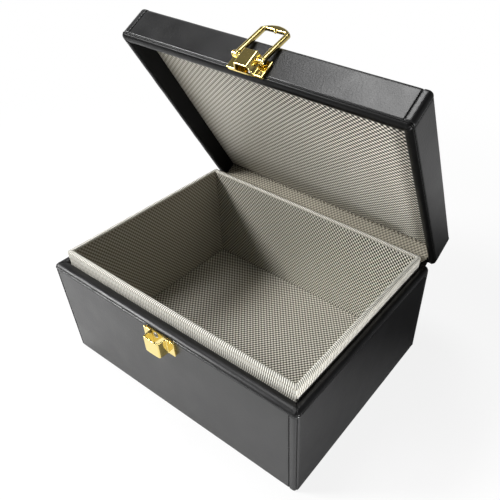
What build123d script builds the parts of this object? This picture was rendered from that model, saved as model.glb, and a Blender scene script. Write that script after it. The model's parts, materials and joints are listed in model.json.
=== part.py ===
"""Leather-covered key box with a soft-hinged lid, a fabric-lined tray and a brass clasp.

Frame: +X to the right along the front, +Y to the hinge side, +Z up, origin at the
centre of the base. Millimetres. The lid is drawn closed and then swung open about the
fold of the leather hinge, because the open box is the rest pose.
"""
from build123d import *
from math import cos, hypot, radians, sin
import os

# ---- overall size ----
box_width = 200.0            # across the front, over the leather
box_depth = 150.0            # front to back, over the leather
ledge_height = 77.0          # table to the top of the padded ledge
lid_height = 23.7            # lid alone, rim to top
lid_gap = 0.3                # lid rim above the ledge when the lid is shut
lid_open_angle = 60.0        # how far the lid stands open at rest, degrees

# ---- leather and boards ----
cover = 0.8                  # PU leather skin
turn_in = 0.8                # leather turned in behind a rim
corner_round = 3.0           # upright outer corners
base_round = 1.8             # bottom outer edges
lid_top_round = 2.6          # top outer edges of the lid
strip_front = 5.5            # corner strip, width on the front and back faces
strip_side = 3.6             # corner strip, width on the side faces
cover_turn_under = 12.0      # cover leather folded under the base
base_board = 3.0
lid_board = 3.0

# ---- ledge of the box and rim of the lid ----
ledge_front = 8.0            # from the outer face in to the tray
ledge_side = 6.2
ledge_back = 3.6
roll_height = 2.2            # padded roll above the seam, on box and lid
roll_round = 2.0             # outer rounding of the box roll
rim_round = 1.3              # outer rounding of the lid roll
roll_inner_round = 0.9       # inner rounding of both rolls
ledge_turn_depth = 12.0      # leather turned down between wall and tray
rim_clear_front = 1.4        # tray to lid wall; the lid swings over the tray here
rim_clear_side = 0.6
rim_clear_back = 0.6

# ---- lined tray ----
liner_board = 2.2
liner_fabric = 0.5
liner_rise = 8.6             # tray above the ledge
liner_turn_depth = 14.0      # fabric turned down outside the tray
liner_round = 0.8            # soft top edge

# ---- lid lining ----
lid_recess = 12.0            # lid rim to the lining
panel_board = 2.0
panel_fabric = 0.5
panel_clear = 0.2            # panel to the turned-in leather

# ---- hinge ----
fold_below_ledge = 10.0      # free leather above the fold line
hinge_on_box = 14.0          # hinge leather glued to the box below the fold
hinge_on_lid = 6.0           # hinge leather glued to the lid above its seam
gusset_cloth = 0.4           # inner fabric gusset
gusset_seat = 0.05           # gusset off the faces that it is glued to
gusset_clear = 0.3           # gusset to the side walls
gusset_sag = 7.4             # how deep the slack gusset hangs below the tray's edge

# ---- clasp ----
clasp_width = 25.0           # both plates
clasp_height = 11.0
plate_sheet = 1.0
hat_sheet = 0.8
plate_corner = 1.2
keeper_below_ledge = 2.4     # keeper top edge under the ledge
clasp_above_rim = 0.4        # clasp foot above the lid rim
tongue_top_half = 6.2        # keeper tongue, half width at its face
tongue_base_half = 6.8
tongue_stand = 7.8           # tongue face above the leather
tongue_bow = 1.0             # curved lower edge
bridge_top_half = 4.6        # lid bridge, half width at its face
bridge_base_half = 6.5
bridge_stand = 7.0
hat_edge_round = 0.9
pivot_above_foot = 7.3       # clasp pin above the clasp foot
pivot_stand = 4.6            # clasp pin above the leather
pin_radius = 0.9
pin_clear = 0.06             # radial, pin in the loop's eyes
pin_head_radius = 1.7
pin_head = 0.9
loop_inner_half = 7.2        # loop opening, half width
loop_leg = 3.0               # leg width
loop_thick = 2.6
loop_bar = 1.6               # far bar, before the thumb arch
loop_arch = 2.4              # thumb arch beyond the bar
loop_round = 0.8
loop_corner = 0.5            # corners of its opening and shoulders
loop_lean = 10.5             # loop leans on the lid at rest, degrees
loop_boss = 1.0              # eye boss towards the bridge
nub_radius = 0.9
nub_reach = 1.1              # nub beyond the bar's inner edge
catch_clear = 0.5            # nub under the keeper's tongue
screw_head_radius = 2.0
screw_head_dome = 0.9
screw_radius = 0.9
screw_length = 5.6           # under the head
screw_offset_x = 3.2         # two screws on a diagonal
screw_offset_z = 2.6

# ---- places that follow ----
half_width, half_depth = box_width / 2, box_depth / 2
seam_height = ledge_height - roll_height
liner_top = ledge_height + liner_rise
liner_wall = liner_board + 2 * liner_fabric
tray_bottom = cover + base_board
floor_board_top = tray_bottom + liner_board
floor_top = floor_board_top + liner_fabric
rim_height = ledge_height + lid_gap
rim_seam = rim_height + roll_height
lid_top = rim_height + lid_height
panel_height = rim_height + lid_recess
panel_top = panel_height + panel_fabric + panel_board
lid_board_low = lid_top - cover - lid_board
hinge_y, hinge_z = half_depth, ledge_height - fold_below_ledge
ledge = (ledge_front, ledge_side, ledge_back)
gusset_room = gusset_cloth + 2 * gusset_seat
lid_wall = (ledge_front - rim_clear_front, ledge_side - rim_clear_side,
            ledge_back - rim_clear_back - gusset_room)
tall = 4 * (ledge_height + lid_height)      # longer than anything that it cuts


# ---- small makers ----
def inset(distance):
    """The same distance in from the front, the sides and the back."""
    return (distance, distance, distance)


def deeper(plan, more):
    """A plan moved further in by one distance."""
    return tuple(d + more for d in plan)


def block(x_low, x_high, y_low, y_high, z_low, z_high):
    centre = Pos((x_low + x_high) / 2, (y_low + y_high) / 2, (z_low + z_high) / 2)
    return centre * Box(x_high - x_low, y_high - y_low, z_high - z_low)


def plan_block(plan, z_low, z_high, corner=0.0, bottom_edge=0.0, top_edge=0.0):
    """A block inside the outline, with plan = (in from front, in from sides, in from back)."""
    front, side, back = plan
    body = block(side - half_width, half_width - side, front - half_depth, half_depth - back, z_low, z_high)
    if corner > 0:
        body = fillet(body.edges().filter_by(Axis.Z), corner)
    if bottom_edge > 0:
        body = fillet(body.faces().sort_by(Axis.Z)[0].edges(), bottom_edge)
    if top_edge > 0:
        body = fillet(body.faces().sort_by(Axis.Z)[-1].edges(), top_edge)
    return body


def prism_z(points, z_low, z_high):
    return extrude(Pos(0, 0, z_low) * make_face(Polyline(*points, close=True)), z_high - z_low)


def side_wedges(outer, inner, z_low, z_high):
    """Four prisms that split a ring between two plans along its mitres."""
    reach = box_width                        # the wedges run out past the object
    corners = {}
    for name, sx, sy in (("front_left", -1, -1), ("front_right", 1, -1),
                         ("back_right", 1, 1), ("back_left", -1, 1)):
        def at(plan):
            return (sx * (half_width - plan[1]), sy * (half_depth - (plan[0] if sy < 0 else plan[2])))
        (ox, oy), (ix, iy) = at(outer), at(inner)
        scale = reach / max(abs(ox - ix), 1e-6)
        corners[name] = ((ox + (ox - ix) * scale, oy + (oy - iy) * scale), (ix, iy))
    order = ("front_left", "front_right", "back_right", "back_left")
    wedges = {}
    for side, first, second in zip(("front", "right", "back", "left"), order, order[1:] + order[:1]):
        points = (corners[first][0], corners[second][0], corners[second][1], corners[first][1])
        wedges[side] = prism_z(points, z_low, z_high)
    return wedges


def by_side(ring, outer, inner):
    """Cuts a ring into its front, right, back and left pieces."""
    return {side: ring & wedge for side, wedge in side_wedges(outer, inner, -tall, tall).items()}


outward = {"front": (0, -1), "right": (1, 0), "back": (0, 1), "left": (-1, 0)}


def rolled(ring, skirt, plan, crown):
    """Splits a roll at its mitres, then rounds each piece's inner edge and adds its skirt."""
    pieces = by_side(ring, inset(0), plan)
    skirts = by_side(skirt, inset(0), plan)
    for side, (x, y) in outward.items():
        piece = one(pieces[side])
        top = piece.faces().filter_by(Axis.Z).sort_by(Axis.Z)[crown].edges()
        inner = min(top, key=lambda e: e.center().X * x + e.center().Y * y)
        piece = fillet(inner, roll_inner_round)
        if skirts[side].volume > 1:
            piece += one(skirts[side])
        yield side, piece


def corner_boxes():
    boxes = {}
    for name, sx, sy in (("front_left", -1, -1), ("front_right", 1, -1),
                         ("back_right", 1, 1), ("back_left", -1, 1)):
        x_in, x_out = half_width - strip_front, half_width + 1
        y_in, y_out = half_depth - strip_side, half_depth + 1
        xs, ys = sorted((sx * x_in, sx * x_out)), sorted((sy * y_in, sy * y_out))
        boxes[name] = block(xs[0], xs[1], ys[0], ys[1], -tall, tall)
    return boxes


def one(shape):
    """The largest solid of a cut, as a plain solid."""
    return sorted(shape.solids(), key=lambda s: s.volume)[-1]


parts = {}


def keep(name, shape):
    parts[name] = shape


def keep_sides(prefix, ring, outer, inner, sides=("front", "right", "back", "left")):
    pieces = by_side(ring, outer, inner)
    for side in sides:
        keep(f"{prefix}_{side}", one(pieces[side]))


# ---- the leather hinge strip, needed by both covers ----
hinge_half = half_width - strip_front
hinge_low = hinge_z - hinge_on_box
hinge_high = rim_seam + hinge_on_lid
hinge_seat = block(-hinge_half, hinge_half, hinge_y - cover, hinge_y + 1, hinge_low, hinge_high)


# ---- box: boards, leather and ledge ----
def box_boards():
    shell = plan_block(inset(cover), cover, seam_height, corner_round - cover, bottom_edge=base_round - cover)
    inner = (ledge_front - turn_in, ledge_side - turn_in, ledge_back)
    walls = shell - plan_block(inner, -1, tall)
    keep_sides("wall_board", walls, inset(cover), inner)
    keep("base_board", plan_block(inner, cover, tray_bottom))


def box_cover():
    outer = plan_block(inset(0), 0, seam_height, corner_round, bottom_edge=base_round)
    inner = plan_block(inset(cover), cover, tall, corner_round - cover, bottom_edge=base_round - cover)
    window = inset(cover_turn_under)
    sleeve = outer - inner - plan_block(window, -1, cover + 1)
    panels = sleeve - hinge_seat
    for name, box in corner_boxes().items():
        keep(f"corner_strip_{name}", one(sleeve & box))
        panels -= box
    keep_sides("cover", panels, inset(0), window)
    keep("base_cover", plan_block(window, 0, cover))


def box_ledge():
    outer = plan_block(inset(0), seam_height, ledge_height, corner_round, top_edge=roll_round)
    opening = plan_block(ledge, -1, tall)
    ring = outer - opening
    skirt_plan = (ledge_front - turn_in, ledge_side - turn_in, ledge_back)
    skirt = plan_block(skirt_plan, seam_height - ledge_turn_depth, seam_height) - opening
    for side, piece in rolled(ring, skirt, ledge, -1):
        keep(f"ledge_roll_{side}", one(piece - hinge_seat))


# ---- tray: boards and shielding fabric ----
def tray():
    board_outer = deeper(ledge, liner_fabric)
    board_inner = deeper(ledge, liner_fabric + liner_board)
    inside = deeper(ledge, liner_wall)
    walls = plan_block(board_outer, tray_bottom, liner_top - liner_fabric) - plan_block(board_inner, -1, tall)
    keep_sides("liner_board", walls, board_outer, board_inner)
    keep("liner_floor_board", plan_block(board_inner, tray_bottom, floor_board_top))

    wrap = plan_block(ledge, liner_top - liner_turn_depth, liner_top, top_edge=liner_round)
    wrap += plan_block(board_inner, floor_board_top, liner_top - liner_turn_depth)
    wrap -= plan_block(inside, floor_board_top - 1, tall)
    cloth = wrap - walls
    keep_sides("liner_fabric", cloth, ledge, inside)
    keep("liner_floor_fabric", plan_block(inside, floor_board_top, floor_top))


# ---- lid, drawn closed ----
def lid_boards():
    shell = plan_block(inset(cover), rim_seam, lid_top - cover, corner_round - cover,
                       top_edge=lid_top_round - cover)
    inner = (lid_wall[0] - turn_in, lid_wall[1] - turn_in, lid_wall[2])
    walls = shell - plan_block(inner, -1, tall) - plan_block(inset(0), lid_board_low, tall)
    keep_sides("lid_board", walls, inset(cover), inner)
    keep("lid_top_board", shell - plan_block(inset(0), -1, lid_board_low))


def lid_cover():
    outer = plan_block(inset(0), rim_seam, lid_top, corner_round, top_edge=lid_top_round)
    inner = plan_block(inset(cover), -1, lid_top - cover, corner_round - cover,
                       top_edge=lid_top_round - cover)
    sleeve = outer - inner
    sheet = plan_block((lid_top_round, strip_side, lid_top_round), lid_top - cover, tall)
    panels = sleeve - hinge_seat - sheet
    for name, box in corner_boxes().items():
        keep(f"lid_corner_strip_{name}", one(sleeve & box))
        panels -= box
    top = sleeve & sheet
    for box in corner_boxes().values():
        top -= box
    keep("lid_top_cover", one(top))
    keep_sides("lid_cover", panels, inset(0), inset(lid_top_round + 1))


def lid_rim():
    outer = plan_block(inset(0), rim_height, rim_seam, corner_round, bottom_edge=rim_round)
    ring = outer - plan_block(lid_wall, -1, tall)
    skin_plan = (lid_wall[0] - turn_in, lid_wall[1] - turn_in, lid_wall[2])
    skin = plan_block(skin_plan, rim_seam, panel_top) - plan_block(lid_wall, -1, tall)
    for side, piece in rolled(ring, skin, lid_wall, 0):
        keep(f"lid_rim_roll_{side}", one(piece - hinge_seat))


def lid_lining():
    front, side, back = deeper(lid_wall, panel_clear)
    panel = (front, side, back + gusset_room)
    keep("lid_panel_fabric", plan_block(panel, panel_height, panel_height + panel_fabric))
    keep("lid_panel_board", plan_block(panel, panel_height + panel_fabric, panel_top))
    keep("lid_panel_foam", plan_block(panel, panel_top, lid_board_low))


# ---- clasp pieces, drawn on a face at y = -half_depth ----
def plate(foot, corner=plate_corner):
    body = block(-clasp_width / 2, clasp_width / 2, -half_depth - plate_sheet, -half_depth,
                 foot, foot + clasp_height)
    return fillet(body.edges().filter_by(Axis.Y), corner)


def hat(foot, top_half, base_half, stand, bow):
    """Sheet bent to a raised channel with a flange each side, open at both ends."""
    low, face = -half_depth - plate_sheet, -half_depth - stand
    flange = low - hat_sheet
    half = clasp_width / 2
    slim = hat_sheet * hypot(base_half - top_half, stand) / stand
    outline = [(half, low), (half, flange), (base_half, flange), (top_half, face),
               (-top_half, face), (-base_half, flange), (-half, flange), (-half, low),
               (slim - base_half, low), (slim - top_half, face + hat_sheet),
               (top_half - slim, face + hat_sheet), (base_half - slim, low)]
    body = prism_z(outline, foot - bow, foot + clasp_height)
    bends = [e for e in body.edges().filter_by(Axis.Z)
             if abs(e.center().Y - face) < 0.01 and abs(abs(e.center().X) - top_half) < 0.01]
    body = fillet(bends, hat_edge_round)
    if bow > 0:
        apron = Polyline((base_half + hat_sheet, foot), (half + 1, foot), (half + 1, foot + clasp_height + 1),
                         (-half - 1, foot + clasp_height + 1), (-half - 1, foot), (-base_half - hat_sheet, foot))
        arc = ThreePointArc((-base_half - hat_sheet, foot), (0, foot - bow), (base_half + hat_sheet, foot))
        front = Plane(origin=(0, -half_depth + 1, 0), x_dir=(1, 0, 0), z_dir=(0, -1, 0))
        body &= extrude(front * make_face(apron + arc), stand + 3)
    return body


def y_cylinder(x, z, radius, y_low, y_high):
    return Pos(x, (y_low + y_high) / 2, z) * Rot(90, 0, 0) * Cylinder(radius, y_high - y_low)


def x_cylinder(y, z, radius, x_low, x_high):
    return Pos((x_low + x_high) / 2, y, z) * Rot(0, 90, 0) * Cylinder(radius, x_high - x_low)


def clasp_fixing(foot):
    """Two dome-headed screws on a diagonal, and the holes that they need."""
    screws, holes = [], []
    seat = -half_depth - plate_sheet
    for sign in (-1, 1):
        x, z = sign * screw_offset_x, foot + clasp_height / 2 - sign * screw_offset_z
        shank = y_cylinder(x, z, screw_radius, seat, seat + screw_length)
        dome_radius = (screw_head_radius ** 2 + screw_head_dome ** 2) / (2 * screw_head_dome)
        ball = Pos(x, seat - screw_head_dome + dome_radius, z) * Sphere(dome_radius)
        head = ball & y_cylinder(x, z, screw_head_radius, seat - screw_head_dome - 1, seat)
        screws.append(head + shank)
        holes.append(shank)
    return screws, holes


def drill(names, holes):
    for name in names:
        for hole in holes:
            parts[name] = one(parts[name] - hole)


def keeper():
    top = ledge_height - keeper_below_ledge
    foot = top - clasp_height
    screws, holes = clasp_fixing(foot)
    keep("keeper_plate", plate(foot))
    keep("keeper_tongue", hat(foot, tongue_top_half, tongue_base_half, tongue_stand, tongue_bow))
    keep("keeper_screws", Compound(children=[one(s) for s in screws]))
    drill(("keeper_plate", "cover_front", "wall_board_front"), holes)
    return foot - tongue_bow


def clasp(keeper_bottom):
    foot = rim_height + clasp_above_rim
    screws, holes = clasp_fixing(foot)
    keep("clasp_plate", plate(foot))
    keep("clasp_bridge", hat(foot, bridge_top_half, bridge_base_half, bridge_stand, 0.0))
    keep("clasp_screws", Compound(children=[one(s) for s in screws]))
    drill(("clasp_plate", "lid_cover_front", "lid_board_front"), holes)

    pin_y, pin_z = -half_depth - pivot_stand, foot + pivot_above_foot
    reach = loop_inner_half + loop_leg + pin_clear
    pin = x_cylinder(pin_y, pin_z, pin_radius, -reach - pin_head, reach + pin_head)
    for sign in (-1, 1):
        ends = sorted((sign * reach, sign * (reach + pin_head)))
        head = x_cylinder(pin_y, pin_z, pin_head_radius, *ends)
        outer = head.faces().sort_by(Axis.X)[-1 if sign > 0 else 0].edges()
        pin += fillet(outer, pin_head * 0.6)
    keep("clasp_pin", pin)
    parts["clasp_bridge"] = one(parts["clasp_bridge"] - x_cylinder(pin_y, pin_z, pin_radius, -reach, reach))

    # the loop reaches from the pin, past the keeper, to just under its tongue
    inner_length = pin_z - keeper_bottom + nub_reach + catch_clear
    keep("clasp_loop", loop(pin_y, pin_z, inner_length))
    return pin_y, pin_z


def loop(pin_y, pin_z, inner_length):
    """Rectangular bail with a thumb arch, drawn upright over the pin, then leaned on the lid."""
    inner, outer = loop_inner_half, loop_inner_half + loop_leg
    thumb = inner_length + loop_bar + loop_arch
    sides = Polyline((-outer, inner_length), (-outer, 0), (outer, 0), (outer, inner_length))
    arch = ThreePointArc((outer, inner_length), (0, thumb), (-outer, inner_length))
    front = Plane(origin=(0, loop_thick / 2, 0), x_dir=(1, 0, 0), z_dir=(0, -1, 0))
    frame = extrude(front * make_face(sides + arch), loop_thick)
    frame -= block(-inner, inner, -loop_thick, loop_thick, -1, inner_length)
    frame = fillet([e for e in frame.edges().filter_by(Axis.Y) if e.center().Z > 1], loop_corner)
    for side in (0, -1):
        rim = frame.faces().sort_by(Axis.Y)[side].edges()
        frame = fillet([e for e in rim if e.center().Z > 0.1], loop_round)
    eye_radius = loop_thick / 2 + 0.5
    for sign in (-1, 1):
        ends = sorted((sign * inner, sign * outer))
        boss = sorted((sign * (inner - loop_boss), sign * inner))
        frame += x_cylinder(0, 0, eye_radius, *ends) + x_cylinder(0, 0, loop_thick / 2, *boss)
    frame += Pos(0, 0, inner_length - nub_reach + nub_radius) * Sphere(nub_radius)
    frame += Pos(0, 0, inner_length) * Cylinder(nub_radius, 2 * (nub_reach - nub_radius) + 0.4)
    frame -= x_cylinder(0, 0, pin_radius + pin_clear, -outer - 1, outer + 1)
    return Pos(0, pin_y, pin_z) * Rot(-loop_lean, 0, 0) * one(frame)


# ---- soft hinge, drawn at the rest angle ----
def swung(y, z):
    """A point of the closed lid, after the lid swings open."""
    turn = radians(lid_open_angle)
    dy, dz = y - hinge_y, z - hinge_z
    return (hinge_y + dy * cos(turn) + dz * sin(turn), hinge_z - dy * sin(turn) + dz * cos(turn))


def prism_x(points, half):
    section = Plane(origin=(-half, 0, 0), x_dir=(0, 1, 0), z_dir=(1, 0, 0)) * make_face(Polyline(*points, close=True))
    return extrude(section, 2 * half)


def hinge_leather():
    """One strip, glued to the box below the fold and to the lid above its seam."""
    turn = radians(lid_open_angle)
    inner_fold = hinge_z + cover * (1 - cos(turn)) / sin(turn)
    return prism_x([(hinge_y - cover, hinge_low), (hinge_y - cover, inner_fold),
                    swung(hinge_y - cover, hinge_high), swung(hinge_y, hinge_high),
                    (hinge_y, hinge_z), (hinge_y, hinge_low)], hinge_half)


def hinge_gusset():
    """Slack shielding fabric from the tray's back edge to the lining of the lid."""
    tray_y = half_depth - ledge_back + gusset_room
    wall_y = half_depth - lid_wall[2] - gusset_seat
    rim, end = swung(wall_y, rim_height), swung(wall_y, panel_height)
    low = liner_top - gusset_sag
    line = [(tray_y, liner_top - liner_round), (tray_y + 0.4, low + 2.4), (tray_y + 2.2, low + 0.5),
            (tray_y + 4.6, low - 0.6), (rim[0] - 2.6, rim[1] + 1.0), (rim[0], rim[1] + 0.6),
            (rim[0] + 1.6, rim[1] + 0.9), end]
    offset_side = []
    for i, (y, z) in enumerate(line):
        before, after = line[max(i - 1, 0)], line[min(i + 1, len(line) - 1)]
        run, rise = after[0] - before[0], after[1] - before[1]
        size = hypot(run, rise)
        offset_side.append((y - rise / size * gusset_cloth, z + run / size * gusset_cloth))
    return prism_x(line + offset_side[::-1], half_width - ledge_side - gusset_clear)


box_boards()
box_cover()
box_ledge()
tray()
lid_boards()
lid_cover()
lid_rim()
lid_lining()
keeper_bottom = keeper()
clasp(keeper_bottom)

hinge_axis = Axis((0, hinge_y, hinge_z), (1, 0, 0))
for name in parts:
    if name.startswith(("lid_", "clasp_")):
        parts[name] = parts[name].rotate(hinge_axis, -lid_open_angle)
keep("hinge_leather", hinge_leather())
keep("hinge_gusset", hinge_gusset())

os.makedirs("parts", exist_ok=True)
for name, shape in parts.items():
    export_step(shape, f"parts/{name}.step")
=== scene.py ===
import json
import bpy
import bmesh
import numpy as np
from math import cos, sin, exp, pi, radians, hypot, sqrt, ceil
from mathutils import Vector, Matrix, noise


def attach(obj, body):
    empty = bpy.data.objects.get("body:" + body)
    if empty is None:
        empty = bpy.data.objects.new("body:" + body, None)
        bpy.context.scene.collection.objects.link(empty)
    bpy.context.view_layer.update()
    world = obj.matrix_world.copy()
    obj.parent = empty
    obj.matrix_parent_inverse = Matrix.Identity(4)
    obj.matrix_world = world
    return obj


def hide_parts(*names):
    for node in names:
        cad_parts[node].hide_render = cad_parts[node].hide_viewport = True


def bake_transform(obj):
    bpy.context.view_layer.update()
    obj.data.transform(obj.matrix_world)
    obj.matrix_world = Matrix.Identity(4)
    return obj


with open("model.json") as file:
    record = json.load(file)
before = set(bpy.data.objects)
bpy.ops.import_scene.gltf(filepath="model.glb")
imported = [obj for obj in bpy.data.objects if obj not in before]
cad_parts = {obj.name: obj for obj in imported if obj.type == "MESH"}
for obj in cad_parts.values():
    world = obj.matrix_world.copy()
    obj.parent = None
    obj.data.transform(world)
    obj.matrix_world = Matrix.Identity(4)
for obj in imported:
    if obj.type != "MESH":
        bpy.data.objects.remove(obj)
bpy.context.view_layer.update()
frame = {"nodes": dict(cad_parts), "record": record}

mm = 0.001
print("frame loaded:", len(frame["nodes"]), "nodes")

# sizes of the box itself, in millimetres, the same as in the CAD frame
case = {
    "halfWide": 100.0, "halfDeep": 75.0, "cornerRound": 3.0, "baseRound": 1.8, "topRound": 2.6, "skin": 0.8,
    "seam": 74.8, "ledge": 77.0,                                # heights on the box body
    "rim": 77.3, "rimSeam": 79.5, "panel": 89.3, "lidTop": 101.0,    # heights on the closed lid
    "ledgePlan": (8.0, 6.2, 3.6), "lidPlan": (6.6, 5.6, 2.45),  # widths at the front, the sides and the back
    "trayWall": 3.2, "trayTop": 85.6, "trayFloor": 6.5,
    "hingeY": 75.0, "hingeZ": 67.0, "openAngle": 60.0,
}
wide, deep, cornerRound = case["halfWide"], case["halfDeep"], case["cornerRound"]
leastRound = 0.03      # what is left of a rounded corner at its inner side
weldGap, sliverEdge = 2e-6, 1e-6      # metres

# the lid is drawn closed and then swung open with this
hinge = Vector((0, case["hingeY"] * mm, case["hingeZ"] * mm))
opened = (Matrix.Translation(hinge) @ Matrix.Rotation(radians(-case["openAngle"]), 4, "X")
          @ Matrix.Translation(-hinge))


def hexColour(text, shade=1.0):
    # a screen colour as Blender's linear one; shade makes it darker or lighter
    parts = [int(text[i:i + 2], 16) / 255 for i in (1, 3, 5)]
    return [(c / 12.92 if c <= 0.04045 else ((c + 0.055) / 1.055) ** 2.4) * shade for c in parts] + [1.0]


def addNode(tree, kind, inputs=None, **settings):
    node = tree.nodes.new(kind)
    for key, value in settings.items():
        setattr(node, key, value)
    for key, value in (inputs or {}).items():
        if isinstance(value, bpy.types.NodeSocket):
            tree.links.new(value, node.inputs[key])
        else:
            node.inputs[key].default_value = value
    return node


def mathNode(tree, operation, *values):
    return addNode(tree, "ShaderNodeMath", dict(enumerate(values)), operation=operation).outputs[0]


def rangeNode(tree, value, source=(0.0, 1.0), target=(0.0, 1.0), smooth=False):
    # takes value from the (low, high) of source to that of target
    return addNode(tree, "ShaderNodeMapRange", dict(enumerate((value, *source, *target))),
                   interpolation_type="SMOOTHSTEP" if smooth else "LINEAR").outputs[0]


def rampNode(tree, value, *stops):
    # stops are (place, colour) pairs: the two ends, then any between them
    ramp = addNode(tree, "ShaderNodeValToRGB", {0: value})
    elements = ramp.color_ramp.elements
    for index in (0, 1):
        elements[index].position, elements[index].color = stops[index]
    for place, colour in stops[2:]:
        elements.new(place).color = colour
    return ramp.outputs[0]


def bumpNode(tree, height, distance, under=None):
    # distance is in millimetres, and under is another bump below this one
    inputs = {"Height": height, "Strength": 1.0, "Distance": distance * mm}
    if under is not None:
        inputs["Normal"] = under
    return addNode(tree, "ShaderNodeBump", inputs).outputs[0]


def textureNode(tree, kind, scale, detail=None, **settings):
    # a texture on the object's own coordinates, in metres
    place = addNode(tree, "ShaderNodeTexCoord").outputs["Object"]
    inputs = {"Vector": place, "Scale": scale}
    if detail is not None:
        inputs["Detail"] = detail
    return addNode(tree, "ShaderNodeTex" + kind, inputs, **settings).outputs


def newMaterial(name, **sockets):
    material = bpy.data.materials.new(name)
    material.use_nodes = True
    shader = material.node_tree.nodes["Principled BSDF"]
    for key, value in sockets.items():
        shader.inputs[key.replace("_", " ")].default_value = value
    return material, material.node_tree, shader


print("materials")

# PU leather: embossed film on cloth, so a fine even pebble and a shallow mottle under a satin top coat
# paintedShadeColour is a darker copy of the leather's colour: painted shade for the turned-in skins and the
# lid's rim
leatherLook = {"colour": "#0f0f10", "paintedShadeColour": "#050505",
               "pebble": 1.0, "pebbleHeight": 0.045, "mottle": 2.6, "mottleHeight": 0.019,
               "wave": 16.0, "waveRange": (0.3, 0.7), "shades": (0.8, 1.25),
               "glossier": 0.025, "duller": 0.035}


def makeLeather(name, colour, rough, grain, shine):
    look = leatherLook
    material, tree, shader = newMaterial(name, Specular_IOR_Level=shine)
    pebble = textureNode(tree, "Voronoi", 1 / mm / look["pebble"], feature="SMOOTH_F1")["Distance"]
    mottle = textureNode(tree, "Noise", 1 / mm / look["mottle"], 2.0)[0]
    wave = textureNode(tree, "Noise", 1 / mm / look["wave"], 3.0)[0]
    # worn and fresh patches differ a little in colour and gloss
    tint = rampNode(tree, wave, *((place, hexColour(colour, shade))
                                  for place, shade in zip(look["waveRange"], look["shades"])))
    tree.links.new(tint, shader.inputs["Base Color"])
    gloss = rangeNode(tree, wave, look["waveRange"], (rough - look["glossier"], rough + look["duller"]))
    tree.links.new(gloss, shader.inputs["Roughness"])
    embossed = bumpNode(tree, pebble, look["pebbleHeight"] * grain)
    mottled = bumpNode(tree, mottle, look["mottleHeight"] * grain, embossed)
    tree.links.new(mottled, shader.inputs["Normal"])
    return material


leather = makeLeather("blackPuLeather", leatherLook["colour"], rough=0.34, grain=1.0, shine=0.5)
# the turned-in skins: the same leather darker and duller, painted shade
leatherInsideShaded = makeLeather("blackPuLeatherTurnedInPaintedShade", leatherLook["paintedShadeColour"], rough=0.6, grain=0.5,
                            shine=0.12)
# the lid's rim rolls and piping: the same leather in the darker colour with less shine, painted shade
leatherRimShaded = makeLeather("blackPuLeatherRimPaintedShade", leatherLook["paintedShadeColour"], rough=0.34, grain=0.7, shine=0.15)
leatherRoll = makeLeather("blackPuLeatherRoll", leatherLook["colour"], rough=0.36, grain=0.7, shine=0.27)
leatherBead = makeLeather("blackPuLeatherBead", leatherLook["colour"], rough=0.24, grain=0.6, shine=0.6)

# nickel and copper plated shielding cloth: champagne yarns in a coarse check and a metal sheen; the dark pits
# are partly the open weave and partly painted shade, the near-white crowns partly the pale yarn and partly
# painted highlight
weaveLook = {"wallCell": (2.85, 3.3), "panelCell": (3.57, 3.12),      # millimetres across and along
             "pitDepth": 0.22, "pitRange": (-0.1, -0.5), "lean": 0.14, "slitTurns": (2, 0.4),
             "pitStop": 0.41, "yarnStop": 0.53, "crownStop": 0.68, "paintedShade": "#958f80", "rimRough": 0.85}
# the face of the cloth, and a darker, duller copy of it for the gusset: painted shade of the fold it sags into
weaveFace = {"yarn": "#b8b2a1", "crown": "#fffdf4", "pit": "#0d0b07", "taut": "#d8d5ca", "metallic": 0.3,
             "rough": 0.5}
weaveShadedLook = {"yarn": "#8b8677", "crown": "#a9a493", "pit": "#1f1b14", "taut": "#86816f", "metallic": 0.2,
                "rough": 0.65}


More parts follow.
